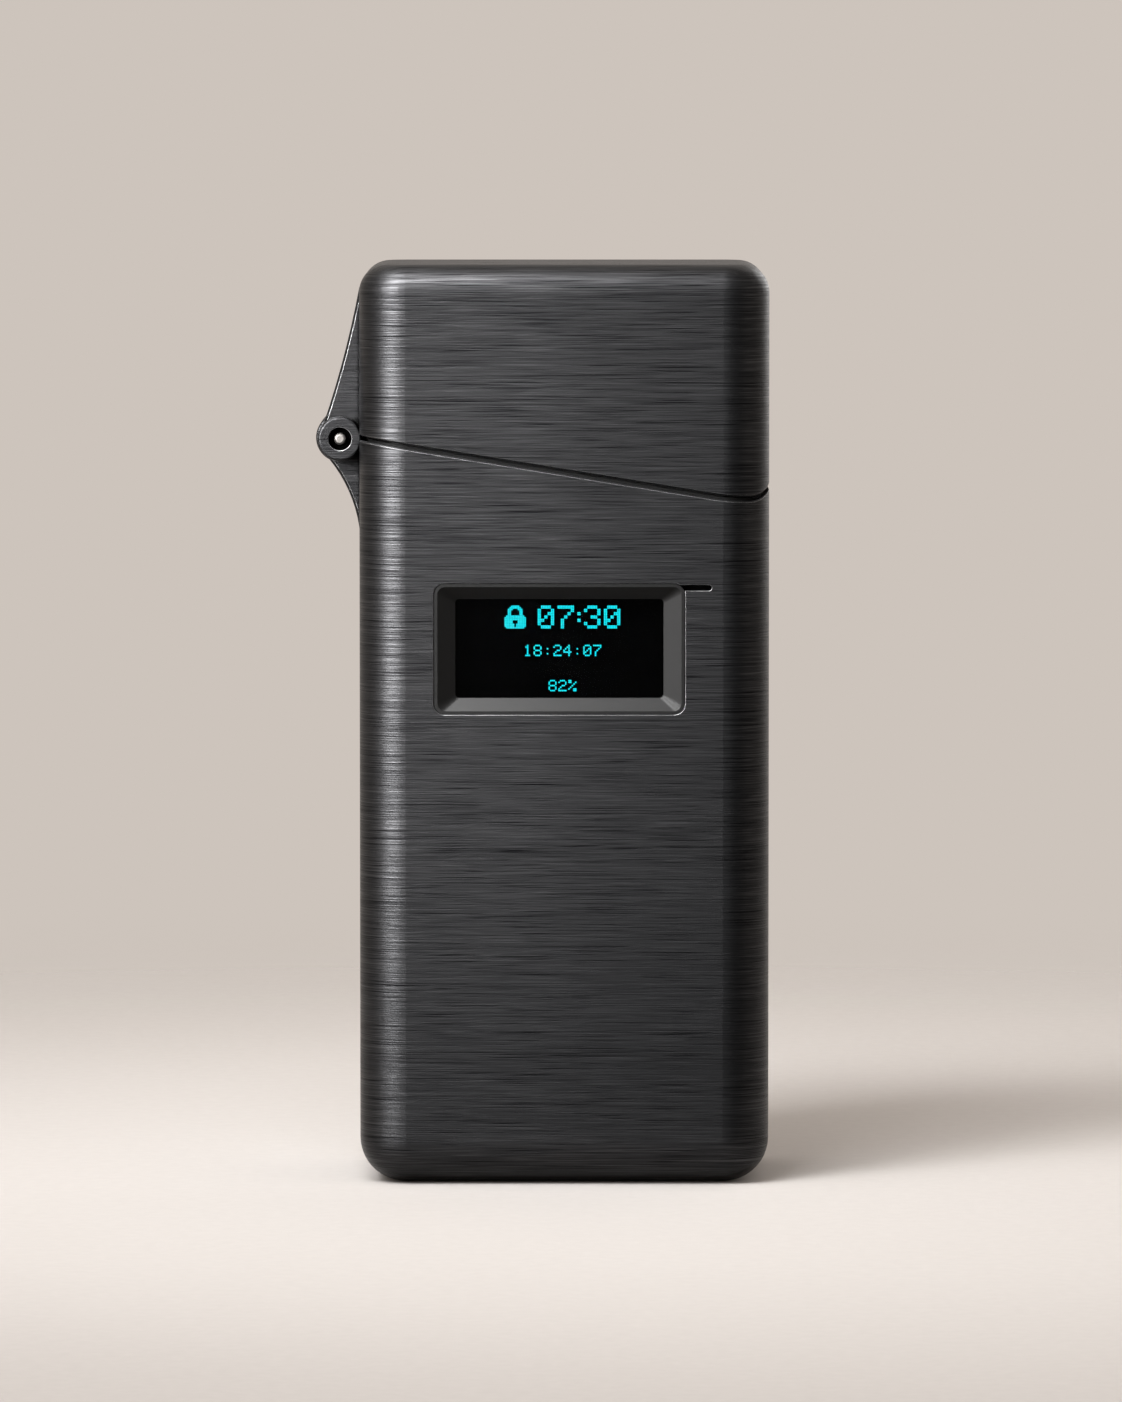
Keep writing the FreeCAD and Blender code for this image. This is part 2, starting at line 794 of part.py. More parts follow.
def motor_cradle():
    """Cup under the motor and a saddle beside it, against the front wall."""
    reach = motor_radius + cradle_side
    back = liner_front - hook_wall_clearance
    cup = box(motor_x - reach, motor_x + reach, inner_front, back, cradle_low, motor_low + cradle_seat)
    saddle = box(motor_x, motor_x + motor_radius + saddle_wall, inner_front, back,
                 motor_low, motor_low + cradle_grip)
    cradle = cup.fuse(saddle).common(case_form(wall + cradle_fit))
    cradle = cradle.cut(rod_z(motor_x, motor_y, motor_low, motor_top, motor_radius + shaft_fit))
    for side in (-1, 1):
        cradle = cradle.cut(rod_z(motor_x + side * lead_spacing / 2, motor_y, cradle_low, motor_low,
                                  lead_radius + screw_hole_fit))
    for x, z in cradle_screw_places:
        cradle = cradle.cut(rod_y(x, z, inner_front, back, screw_radius + screw_hole_fit))
        cradle = cradle.cut(rod_y(x, z, cradle_screw_seat, back, screw_head_radius + screw_hole_fit))
    return cradle.removeSplitter()


def cradle_screws():
    return Part.makeCompound([screw(x, cradle_screw_seat, z, to_front) for x, z in cradle_screw_places])


def lid_hook():
    """J-shaped plate that hangs from the lid; the lever turns in over its foot."""
    plate = pad_y(plate_left, plate_right, plate_low, plate_high, hook_front, hook_back,
                  least_inner_radius)
    arm = box(arm_left, arm_right, hook_front, hook_back, foot_low, plate_low + hook_arm_width)
    foot = box(arm_left, foot_right, hook_front, hook_back, foot_low, foot_top)
    hook = plate.fuse(arm).fuse(foot)
    for x, z in hook_screw_places:
        hook = hook.cut(rod_y(x, z, hook_front, hook_back, screw_radius + screw_hole_fit))
    return hook.removeSplitter()


def hook_screws():
    return Part.makeCompound([screw(x, hook_back, z, to_front) for x, z in hook_screw_places])


def lid_magnet():
    return rod_z(sensor_x, magnet_y, magnet_low, magnet_low + magnet_length, magnet_radius)


# ---- Linings and seal ----
def pocket_liner():
    outer = case_form(wall + liner_clearance)
    inner = case_form(wall + liner_clearance + liner_wall)
    below_rim = below_lip(rim_height)
    far = total_height
    behind_bay = box(-half_width, half_width, liner_front, half_depth,
                     pocket_floor_height - liner_wall, far)
    over_bay = box(-half_width, half_width, -half_depth, liner_front + liner_wall, 0, far)
    pocket_room = box(-half_width, half_width, liner_front + liner_wall, half_depth,
                      pocket_floor_height, far)
    deck_room = box(-half_width, half_width, -half_depth, liner_front, 0, far)
    deck = outer.common(over_bay).common(below_rim).cut(below_lip(-deck_drop - deck_thickness))
    liner = outer.common(behind_bay).common(below_rim).fuse(deck)
    liner = liner.cut(inner.common(pocket_room))
    liner = liner.cut(inner.common(deck_room).common(above_lip(-deck_drop)))
    slot = box(arm_left - hook_slot_side, half_width, hook_front - hook_slot_side,
               hook_back + hook_slot_side, foot_low, far)
    return liner.cut(slot).removeSplitter()


def rim_seal():
    ring = case_form(seal_inset).cut(case_form(wall))
    return ring.common(below_lip(seal_thickness)).cut(below_lip(0))


def lid_liner():
    inset = wall + lid_liner_clearance
    tray = case_form(inset)
    room = case_form(inset + lid_liner_wall)
    front = liner_front + hook_wall_clearance
    behind = box(-half_width, half_width, front, half_depth, 0, total_height)
    behind_wall = box(-half_width, half_width, front + lid_liner_wall, half_depth, 0, total_height)
    tray = tray.common(behind).cut(room.common(behind_wall))
    return tray.cut(below_lip(rim_height + lid_rim_clearance))


# ---- Control board and what it carries ----
def main_board():
    board = pad_z(-main_board_width / 2, main_board_width / 2, main_board_front, main_board_back,
                  main_board_height, main_board_top, main_board_radius)
    for x, y in board_screw_places:
        board = board.cut(rod_z(x, y, main_board_height, main_board_top, screw_radius + screw_hole_fit))
    return board


def board_connectors():
    """Plug blocks on the board for the ribbon, the battery and the motor."""
    places = [(display_shift, flex_y, flex_width + connector_depth),
              (battery_lead_x, battery_lead_y, connector_length),
              (motor_x, motor_y, connector_length)]
    blocks = []
    for x, y, length in places:
        blocks.append(box(x - length / 2, x + length / 2, y - connector_depth / 2, y + connector_depth / 2,
                          main_board_top, main_board_top + connector_height))
    return Part.makeCompound(blocks)


def controller_module():
    return box(module_shift - module_width / 2, module_shift + module_width / 2,
               module_front, module_front + module_length, main_board_top,
               main_board_top + module_thickness)


def buzzer():
    return rod_z(buzzer_x, 0, main_board_top, main_board_top + buzzer_height, buzzer_radius)


def usb_socket():
    back = inner_back - wall_standoff
    front = back - usb_length
    left = usb_x - usb_width / 2
    right = usb_x + usb_width / 2
    low = main_board_top
    high = low + usb_height
    corner = usb_height / 2 - usb_shell
    cavity_front = back - usb_cavity_depth
    shell = pad_y(left, right, low, high, front, back, corner)
    shell = shell.cut(pad_y(left + usb_shell, right - usb_shell, low + usb_shell, high - usb_shell,
                            cavity_front, back, corner - usb_shell))
    tongue = box(usb_x - usb_tongue_width / 2, usb_x + usb_tongue_width / 2,
                 front, cavity_front + usb_tongue_length,
                 usb_z - usb_tongue_thickness / 2, usb_z + usb_tongue_thickness / 2)
    return shell.fuse(tongue).removeSplitter()


def set_switch():
    return box(button_x - switch_width / 2, button_x + switch_width / 2, switch_back - switch_depth,
               switch_back, main_board_top, main_board_top + switch_height)


def set_button():
    cap = rod_y(button_x, button_z, button_flange_front, half_depth + button_proud, button_radius)
    outer_edge = edges_where(cap, lambda p: abs(p.y - half_depth - button_proud) < 1e-6)
    cap = cap.makeFillet(button_crown, outer_edge)
    flange = rod_y(button_x, button_z, button_flange_front, button_flange_back, button_flange_radius)
    nib = rod_y(button_x, button_z, button_flange_front - button_nib_length, button_flange_front,
                button_nib_radius)
    return cap.fuse(flange).fuse(nib).removeSplitter()


def board_screws():
    return Part.makeCompound([screw(x, y, main_board_top, downwards) for x, y in board_screw_places])


def base_cover():
    half_x = cover_width / 2
    half_y = cover_depth / 2
    cover = pad_z(-half_x, half_x, -half_y, half_y, cover_recess, cover_recess + cover_thickness,
                  cover_radius)
    for x, y in cover_screw_places:
        cover = cover.cut(rod_z(x, y, cover_recess, cover_recess + cover_thickness,
                                screw_radius + screw_hole_fit))
        cover = cover.cut(rod_z(x, y, cover_recess, cover_recess + screw_head_height,
                                screw_head_radius + screw_hole_fit))
    return cover


def base_screws():
    seat = cover_recess + screw_head_height
    return Part.makeCompound([screw(x, y, seat, upwards) for x, y in cover_screw_places])


def hinge_pin():
    half = hinge_length / 2 - pin_recess
    pin = rod_y(hinge_x, hinge_z, -half, half, pin_radius)
    rims = [edge for edge in pin.Edges if isinstance(edge.Curve, Part.Circle)]
    return pin.makeFillet(pin_end_radius, rims)


# ---- Write every piece ----
os.makedirs("parts", exist_ok=True)

for piece in (body_shell, lid_shell, hinge_pin, bezel, display_lens, lens_gasket, oled_glass,
              display_board, display_screws, display_flex, lid_sensor, battery, battery_pad,
              lock_motor, motor_cradle, cradle_screws, lock_shaft, lock_cam, lid_hook, hook_screws,
              lid_magnet, pocket_liner, rim_seal, lid_liner, main_board, board_connectors,
              controller_module, buzzer, usb_socket, set_switch, set_button, board_screws,
              base_cover, base_screws):
    save(piece.__name__, piece())

save("battery_leads", leads(battery_lead_x, battery_lead_y, battery_base,
                            main_board_top + connector_height))
save("motor_leads", leads(motor_x, motor_y, motor_low, main_board_top + connector_height))
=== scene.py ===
"""Timed lock container: finishes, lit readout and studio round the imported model."""
import bpy
import math
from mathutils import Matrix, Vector


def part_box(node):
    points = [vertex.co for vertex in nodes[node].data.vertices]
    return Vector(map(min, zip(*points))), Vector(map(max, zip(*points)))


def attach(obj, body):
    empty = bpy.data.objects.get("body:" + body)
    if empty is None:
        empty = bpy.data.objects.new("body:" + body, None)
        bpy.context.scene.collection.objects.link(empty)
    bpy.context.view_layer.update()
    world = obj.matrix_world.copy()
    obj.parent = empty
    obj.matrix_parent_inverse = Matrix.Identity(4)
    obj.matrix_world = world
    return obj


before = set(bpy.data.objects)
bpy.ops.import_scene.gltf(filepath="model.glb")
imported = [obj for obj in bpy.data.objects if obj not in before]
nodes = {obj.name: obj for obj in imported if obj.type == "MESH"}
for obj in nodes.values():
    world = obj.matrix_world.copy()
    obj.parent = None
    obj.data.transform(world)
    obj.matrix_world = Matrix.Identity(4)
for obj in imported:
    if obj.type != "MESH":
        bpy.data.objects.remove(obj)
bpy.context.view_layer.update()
bpy.ops.object.select_all(action="DESELECT")

MM = 0.001

# ---------------------------------------------------------------- material making

# A Mix node set to colours keeps its own colour sockets after the plain number ones.
COLOUR_A, COLOUR_B, COLOUR_OUT = 6, 7, 2
# Nearly all of a grain's values lie between these two.
GRAIN_LOW, GRAIN_HIGH = 0.3, 0.7
# A wave texture's rings and bands repeat every 0.314 of its unit.
WAVE_PERIOD = 0.314


def linear(code):
    """Scene-linear colour for an sRGB hex code."""
    parts = [int(code[i:i + 2], 16) / 255 for i in (0, 2, 4)]
    low = [part / 12.92 for part in parts]
    high = [((part + 0.055) / 1.055) ** 2.4 for part in parts]
    return [b if part > 0.04045 else a for part, a, b in zip(parts, low, high)] + [1]


def add(tree, kind, sockets, **settings):
    """Adds a node with its settings, and fills or links its sockets."""
    made = tree.nodes.new("ShaderNode" + kind)
    for name, value in settings.items():
        setattr(made, name, value)
    for name, value in sockets.items():
        if isinstance(value, bpy.types.NodeSocket):
            tree.links.new(value, made.inputs[name])
        else:
            made.inputs[name].default_value = value
    return made


def start(name, **sockets):
    """A new material: its tree, its shader with flat values set, and its coordinates."""
    material = bpy.data.materials.new(name)
    material.use_nodes = True
    tree = material.node_tree
    shader = tree.nodes["Principled BSDF"]
    for socket, value in sockets.items():
        shader.inputs[socket.replace("_", " ")].default_value = value
    return tree, shader, add(tree, "TexCoord", {})


def grains(tree, place, sizes, **shape):
    """Cloudy grain whose patches are sizes millimetres long along x, y and z."""
    scaled = add(tree, "Mapping", {
        "Vector": place,
        "Scale": [1 / (MM * size) for size in sizes],
    })
    return add(tree, "TexNoise", {
        "Vector": scaled.outputs["Vector"],
        "Scale": 1,
        **{name.replace("_", " "): value for name, value in shape.items()},
    }).outputs["Fac"]


def dress(tree, shader, pattern, dark, light, rough, depth, relief=None, normal=None):
    """Lets a pattern vary a finish's colour and roughness together, and its surface.

    The surface is depth millimetres deep and follows the relief where one is given, or
    else the pattern. It starts from the normal where one is given, or else from the
    mesh's own. The colour is returned.
    """
    colour = add(tree, "Mix", {
        "Factor": pattern, COLOUR_A: linear(dark), COLOUR_B: linear(light),
    }, data_type="RGBA").outputs[COLOUR_OUT]
    dull = add(tree, "MapRange", {
        "Value": pattern, "From Min": GRAIN_LOW, "From Max": GRAIN_HIGH,
        "To Min": rough[0], "To Max": rough[1],
    })
    bump = add(tree, "Bump", {
        "Height": pattern if relief is None else relief, "Distance": depth * MM,
    })
    if normal is not None:
        tree.links.new(normal, bump.inputs["Normal"])
    tree.links.new(colour, shader.inputs["Base Color"])
    tree.links.new(dull.outputs["Result"], shader.inputs["Roughness"])
    tree.links.new(bump.outputs["Normal"], shader.inputs["Normal"])
    return colour


# ---------------------------------------------------------------- the case's metal

def brush_marks(tree, coords, long, wide, **shape):
    """Hairlines that run level round the walls, and from side to side on top."""
    place, normal = coords.outputs["Object"], coords.outputs["Normal"]
    height = add(tree, "SeparateXYZ", {"Vector": normal}).outputs["Z"]
    upward = add(tree, "Math", {0: height}, operation="ABSOLUTE").outputs["Value"]
    # The two directions cross over on the round between wall and top.
    flat = add(tree, "MapRange", {"Value": upward, "From Min": 0.6, "From Max": 0.8})
    return add(tree, "Mix", {
        "Factor": flat.outputs["Result"],
        "A": grains(tree, place, (long, long, wide), **shape),
        "B": grains(tree, place, (long, wide, long), **shape),
    }).outputs["Result"]


def belt_lines(tree, coords):
    """What a belt leaves: its finest lines, the shade of them all, and their height.

    A belt's lines are about 0.05 mm wide. They are drawn 0.12 mm wide or more, so that
    they show. Here and there a coarse grit cuts a dark scratch, or leaves a glint.
    """
    scratch_shade, glint_shade, scratch_height = -0.34, 0.6, -0.8
    fine = brush_marks(tree, coords, 7, 0.12, Detail=4, Roughness=0.75)
    long = brush_marks(tree, coords, 14, 0.16, Detail=1, Roughness=0.5)
    grit = brush_marks(tree, coords, 10, 0.12, Detail=1, Roughness=0.5)
    both = add(tree, "Math", {0: fine, 1: long}).outputs["Value"]
    cloud = add(tree, "MapRange", {
        "Value": both, "From Min": 0.66, "From Max": 1.34, "To Min": 0.2, "To Max": 0.72,
    }).outputs["Result"]
    scratches = add(tree, "MapRange", {
        "Value": grit, "From Min": 0.56, "From Max": 0.66,
    }).outputs["Result"]
    glints = add(tree, "MapRange", {
        "Value": grit, "From Min": 0.42, "From Max": 0.34,
    }).outputs["Result"]
    scratched = add(tree, "Math", {
        0: scratches, 1: scratch_shade, 2: cloud,
    }, operation="MULTIPLY_ADD").outputs["Value"]
    shade = add(tree, "Math", {
        0: glints, 1: glint_shade, 2: scratched,
    }, operation="MULTIPLY_ADD").outputs["Value"]
    height = add(tree, "Math", {
        0: scratches, 1: scratch_height, 2: both,
    }, operation="MULTIPLY_ADD").outputs["Value"]
    return fine, shade, height


def worn_and_highlit_edges(tree, dyed, broken, fine):
    """The dye's colour, paler in patches along each broken edge: partly dye worn thin by
    handling, partly a painted edge highlight.
    """
    square = add(tree, "NewGeometry", {}).outputs["Normal"]
    turned = add(tree, "VectorMath", {0: broken, 1: square}, operation="DOT_PRODUCT")
    edge_wear_and_highlight = add(tree, "MapRange", {
        "Value": turned.outputs["Value"], "From Min": 0.985, "From Max": 0.93,
    })
    patchy_wear_and_highlight = add(tree, "Math", {0: edge_wear_and_highlight.outputs["Result"], 1: fine}, operation="MULTIPLY")
    # Paler along broken edges: worn dye and painted highlight together.
    return add(tree, "Mix", {
        "Factor": patchy_wear_and_highlight.outputs["Value"], COLOUR_A: dyed, COLOUR_B: linear("b4b4b5"),
    }, data_type="RGBA").outputs[COLOUR_OUT]


def painted_gap_shade(tree, brushed):
    """Painted shade: near black in narrow gaps and hollows, where little of the room
    reaches, and brushed metal outside.
    """
    gap_width = 1.2
    room = add(tree, "AmbientOcclusion", {"Distance": gap_width * MM}, samples=8)
    # Painted shade: where ambient occlusion finds the gap closed, the colour goes to near
    # black.
    unshaded = add(tree, "MapRange", {
        "Value": room.outputs["AO"], "From Min": 0.55, "From Max": 0.75,
    })
    return add(tree, "Mix", {
        "Factor": unshaded.outputs["Result"], COLOUR_A: linear("040404"),
        COLOUR_B: brushed,
    }, data_type="RGBA").outputs[COLOUR_OUT]


def brushed_black_anodised_aluminium():
    """Aluminium drawn level under a belt, its edges broken, anodised and dyed black.

    Light smears upright across the hairlines and stays narrow along them. Narrow gaps carry
    painted shade, and broken edges a painted highlight as well as wear.
    """
    tree, shader, coords = start(
        "brushed_black_anodised_aluminium", Metallic=1, Anisotropic=0.15
    )
    edge_width, line_depth = 0.12, 0.018
    fine, shade, height = belt_lines(tree, coords)
    broken = add(tree, "Bevel", {"Radius": edge_width * MM}, samples=8).outputs["Normal"]
    dyed = dress(
        tree, shader, shade, "0b0b0c", "3c3c3d", (0.46, 0.38), line_depth, height, broken
    )
    # Painted shade in narrow gaps, over painted highlight and wear along the edges.
    colour = painted_gap_shade(tree, worn_and_highlit_edges(tree, dyed, broken, fine))
    tree.links.new(colour, shader.inputs["Base Color"])
    # Leant a little off upright, so that the direction also holds on the flat top.
    upright = add(
        tree, "VectorTransform", {"Vector": (0, 0.02, 1)},
        vector_type="VECTOR", convert_from="OBJECT", convert_to="WORLD",
    )
    tree.links.new(upright.outputs["Vector"], shader.inputs["Tangent"])


# ---------------------------------------------------------------- other metals

def turned_metal(name, axis, centre, ring, dark, light, rough):
    """Metal faced on a lathe: rings round its own axis, so many millimetres apart."""
    tree, shader, coords = start(name, Metallic=1)
    centred = add(tree, "Mapping", {
        "Vector": coords.outputs["Object"], "Location": [-part for part in centre],
    })
    rings = add(tree, "TexWave", {
        "Vector": centred.outputs["Vector"], "Scale": WAVE_PERIOD / (ring * MM),
        "Distortion": 1.5, "Detail": 2, "Detail Scale": 0.4,
    }, wave_type="RINGS", rings_direction=axis).outputs["Fac"]
    dress(tree, shader, rings, dark, light, rough, 0.004)


def drawn_nickel_plated_steel():
    """Deep-drawn, nickel-plated can: faint upright draw lines on bright steel."""
    tree, shader, coords = start("drawn_nickel_plated_steel", Metallic=1)
    lines = grains(tree, coords.outputs["Object"], (0.2, 0.2, 9), Detail=2)
    dress(tree, shader, lines, "9b9a96", "c9c8c4", (0.22, 0.36), 0.004)


def tumbled_metal(name, dark, light, rough):
    """Small metal parts tumbled in stones: even and satin, with tiny random dings."""
    tree, shader, coords = start(name, Metallic=1)
    dings = grains(tree, coords.outputs["Object"], (0.5, 0.5, 0.5), Detail=4)
    dress(tree, shader, dings, dark, light, rough, 0.012)


# ---------------------------------------------------------------- glass and display

def smoked_window_glass():
    """Thin grey-tinted glass, polished, with the faintest wipe marks."""
    tree, shader, coords = start(
        "smoked_window_glass", Transmission_Weight=1, IOR=1.5, Specular_IOR_Level=0.08
    )
    wipes = grains(tree, coords.outputs["Object"], (9, 3, 2.5), Detail=2)
    dress(tree, shader, wipes, "b9bdc1", "c4c8cb", (0.015, 0.05), 0)


def display_glass(pitch):
    """Dark display glass: the unlit dots, a pitch apart, show as a faint lattice."""
    tree, shader, coords = start("display_glass", IOR=1.5, Specular_IOR_Level=0.15)
    columns, rows = [
        add(tree, "TexWave", {
            "Vector": coords.outputs["Object"], "Scale": WAVE_PERIOD / (pitch * MM),
        }, bands_direction=way).outputs["Fac"]
        for way in ("X", "Z")
    ]
    dots = add(tree, "Math", {0: columns, 1: rows}, operation="MULTIPLY")
    dress(tree, shader, dots.outputs["Value"], "050506", "0a0b0d", (0.1, 0.14), 0)


def lit_cyan_dots():
    """Light-emitting film on glass: cyan light, a little uneven from dot to dot."""
    tree, shader, coords = start(
        "lit_cyan_dots", Base_Color=linear("052224"), Roughness=0.4,
        Emission_Strength=2.15,
    )
    uneven = grains(tree, coords.outputs["Object"], (0.5, 0.5, 0.5), Detail=1)
    glow = add(tree, "Mix", {
        "Factor": uneven, COLOUR_A: linear("08dce6"), COLOUR_B: linear("18fbff"),
    }, data_type="RGBA")
    tree.links.new(glow.outputs[COLOUR_OUT], shader.inputs["Emission Color"])


# ---------------------------------------------------------------- plastics and rubber

def moulded(name, dark, light, grain, rough, depth, shine=0.5):
    """Moulded plastic or rubber: the mould's spark-eroded face leaves a fine even grain.

    The grain and its depth are in millimetres. Less shine makes it darker and duller
    under soft light.
    """
    tree, shader, coords = start(name, IOR=1.5, Specular_IOR_Level=shine)
    grit = grains(tree, coords.outputs["Object"], (grain,) * 3, Detail=3, Roughness=0.6)
    dress(tree, shader, grit, dark, light, rough, depth)


def glass_filled_nylon():
    """Nylon with short glass fibres, which streak its skin the way it flowed."""
    tree, shader, coords = start("glass_filled_nylon", IOR=1.53)
    fibres = grains(tree, coords.outputs["Object"], (0.3, 0.3, 2.5), Detail=3)
    dress(tree, shader, fibres, "1d1d1f", "353536", (0.5, 0.68), 0.01)


def closed_cell_foam(name, dark, light, cell):
    """Foam sheet: round cells so many millimetres across, dull and soft."""
    tree, shader, coords = start(name, IOR=1.45, Specular_IOR_Level=0.1)
    cells = add(tree, "TexVoronoi", {
        "Vector": coords.outputs["Object"], "Scale": 1 / (cell * MM),
    }).outputs["Distance"]
    dress(tree, shader, cells, dark, light, (0.85, 0.95), 0.05)


# ---------------------------------------------------------------- boards, ribbon and cell

def solder_masked_board():
    """Glass-fibre board under green mask; the copper runs show as paler lines."""
    tree, shader, coords = start("solder_masked_board", IOR=1.55)
    run_half_width, run_spacing, run_length = 0.12, 1.1, 4.2
    # One board lies flat and the other stands up, so the lines follow y and z alike.
    place = add(tree, "SeparateXYZ", {"Vector": coords.outputs["Object"]})
    across = add(tree, "Math", {0: place.outputs["Y"], 1: place.outputs["Z"]})
    flat = add(tree, "CombineXYZ", {
        "X": place.outputs["X"], "Y": across.outputs["Value"],
    })
    runs = add(tree, "TexBrick", {
        "Vector": flat.outputs["Vector"], "Scale": 1 / MM, "Brick Width": run_length,
        "Row Height": run_spacing, "Mortar Size": run_half_width, "Mortar Smooth": 0.2,
        "Color1": linear("000000"), "Color2": linear("101010"),
        "Mortar": linear("ffffff"),
    }).outputs["Color"]
    dress(tree, shader, runs, "0c3a28", "1d5c3f", (0.3, 0.38), 0.02)


def polyimide_ribbon():
    """Amber film with copper strips, half a millimetre apart, running down inside it."""
    tree, shader, coords = start("polyimide_ribbon", IOR=1.7)
    strip_spacing = 0.5
    strips = add(tree, "TexWave", {
        "Vector": coords.outputs["Object"],
        "Scale": WAVE_PERIOD / (strip_spacing * MM), "Distortion": 0.3,
    }, bands_direction="X").outputs["Fac"]
    dress(tree, shader, strips, "8a4a12", "c98336", (0.22, 0.34), 0.01)


def aluminium_laminate_pouch():
    """Aluminium laminate pouch: silvery, soft-creased and not quite flat."""
    tree, shader, coords = start("aluminium_laminate_pouch", Metallic=0.75)
    creases = grains(
        tree, coords.outputs["Object"], (5, 2, 4), Detail=5, Distortion=0.8
    )
    dress(tree, shader, creases, "9c9ea1", "c3c5c7", (0.32, 0.48), 0.15)


# ---------------------------------------------------------------- studio surfaces

def matt_paper(centre, near, far):
    """Matt paper with a fine tooth, which thins out all round into the pale room.

    It is whole as far as near metres from the centre, and gone beyond far.
    """
    tree, shader, coords = start("matt_paper", Specular_IOR_Level=0.1)
    tooth = grains(tree, coords.outputs["Object"], (2, 2, 2), Detail=4)
    dress(tree, shader, tooth, "cfcbc8", "d8d4d1", (0.9, 0.98), 0.03)
    away = add(tree, "VectorMath", {
        0: coords.outputs["Object"], 1: centre,
    }, operation="SUBTRACT")
    distance = add(tree, "VectorMath", {0: away.outputs["Vector"]}, operation="LENGTH")
    thin = add(tree, "MapRange", {
        "Value": distance.outputs["Value"], "From Min": near, "From Max": far,
    }, interpolation_type="SMOOTHSTEP")
    clear = add(tree, "BsdfTransparent", {})
    mixed = add(tree, "MixShader", {
        0: thin.outputs["Result"], 1: shader.outputs["BSDF"], 2: clear.outputs["BSDF"],
    })
    output = tree.nodes["Material Output"]
    tree.links.new(mixed.outputs["Shader"], output.inputs["Surface"])


def black_card_face():
    """Black card: dyed through and dull, with a faint fibre."""
    tree, shader, coords = start("black_card", IOR=1.5)
    fibre = grains(tree, coords.outputs["Object"], (2, 2, 2), Detail=3, Roughness=0.6)
    dress(tree, shader, fibre, "0b0b0b", "121212", (0.8, 0.9), 0)


# ---------------------------------------------------------------- finishes by part

def middle(node):
    """Centre of a CAD node's box."""
    low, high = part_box(node)
    return (low + high) / 2


# Millimetres from one dot of the display to the next.
DOT_PITCH = 0.23

brushed_black_anodised_aluminium()
drawn_nickel_plated_steel()
# Free-cutting steel, turned: its face gathers the light in one soft spot.
turned_metal(
    "turned_pin_steel", "Y", middle("hinge_pin"), 0.14, "625f5d", "777471", (0.44, 0.54)
)
# Aluminium button, faced on a lathe and dyed black: a faint glint goes round it.
turned_metal(
    "turned_black_aluminium", "Y", middle("set_button"), 0.12, "29292a", "4a4a4c",
    (0.3, 0.42),
)
# Heat-treated screws with an oxide skin: nearly black, a little oily.
tumbled_metal("black_oxide_steel", "2b2b2d", "4b4b4d", (0.34, 0.5))
# Stamped spring steel with a phosphate skin: dark grey and dull, easy on the latch.
tumbled_metal("phosphated_latch_steel", "3e3d3c", "595856", (0.42, 0.56))
# Sintered magnet under nickel: bright and slightly warm.
tumbled_metal("nickel_plated_magnet", "a5a19a", "cdc9c1", (0.12, 0.22))
# Thin tinned sheet, folded into a shield: pale and satin.
tumbled_metal("tinned_shield_steel", "9a9c9c", "bfc1c0", (0.3, 0.44))
smoked_window_glass()
display_glass(DOT_PITCH)
lit_cyan_dots()
# ABS from a nearly polished mould: soft highlights on the frame's slopes.
moulded("satin_black_abs", "0e0e0e", "171717", 0.22, (0.36, 0.46), 0.008, 0.19)
# ABS from a textured mould: dull all over, so finger marks hide.
moulded("textured_black_abs", "151516", "222223", 0.3, (0.5, 0.62), 0.02, 0.2)
# ABS with a coarser texture on the cover below: greyer and open-grained.
moulded("moulded_cover_abs", "212122", "303031", 0.4, (0.48, 0.6), 0.02)
# Epoxy packed round chips: matt, faintly sandy.
moulded("black_epoxy", "161617", "242425", 0.15, (0.55, 0.7), 0.015)
# Unfilled nylon connectors: ivory and slightly waxy.
moulded("ivory_nylon", "d3cdb9", "e6e1d1", 0.3, (0.4, 0.5), 0.006)
# Silicone seal: deep black and soft, with next to no highlight.
moulded("moulded_black_silicone", "060606", "0c0c0c", 0.5, (0.6, 0.75), 0.01, 0.15)
# Silicone wire covering: red, smooth and a little rubbery.
moulded("red_silicone", "8d1512", "b4231d", 0.6, (0.45, 0.58), 0.01)
glass_filled_nylon()
closed_cell_foam("black_gasket_foam", "050505", "0b0b0b", 0.25)
closed_cell_foam("white_adhesive_foam", "b9b7b0", "dbd9d3", 0.3)
solder_masked_board()
polyimide_ribbon()
aluminium_laminate_pouch()

FINISH_OF_SLOT = {
    "black_anodised": "brushed_black_anodised_aluminium",
    "pin_steel": "turned_pin_steel",
    "bezel_plastic": "satin_black_abs",
    "lens_glass": "smoked_window_glass",
    "display_panel": "display_glass",
    "foam": "black_gasket_foam",
    "circuit_board": "solder_masked_board",
    "ribbon_film": "polyimide_ribbon",
    "screw_steel": "black_oxide_steel",
    "black_silicone": "moulded_black_silicone",
    "liner_plastic": "textured_black_abs",
    "battery_wrap": "aluminium_laminate_pouch",
    "adhesive_foam": "white_adhesive_foam",
    "motor_steel": "drawn_nickel_plated_steel",
    "cradle_plastic": "glass_filled_nylon",
    "latch_steel": "phosphated_latch_steel",
    "magnet_nickel": "nickel_plated_magnet",
    "lead_insulation": "red_silicone",
    "connector_plastic": "ivory_nylon",
    "shield_steel": "tinned_shield_steel",
    "component_plastic": "black_epoxy",
    "button_metal": "turned_black_aluminium",
    "cover_plastic": "moulded_cover_abs",
}

for node in nodes.values():
    for held in node.material_slots:
        finish = FINISH_OF_SLOT[held.material.name.split(".")[0]]
        held.material = bpy.data.materials[finish]


# ---------------------------------------------------------------- lit readout

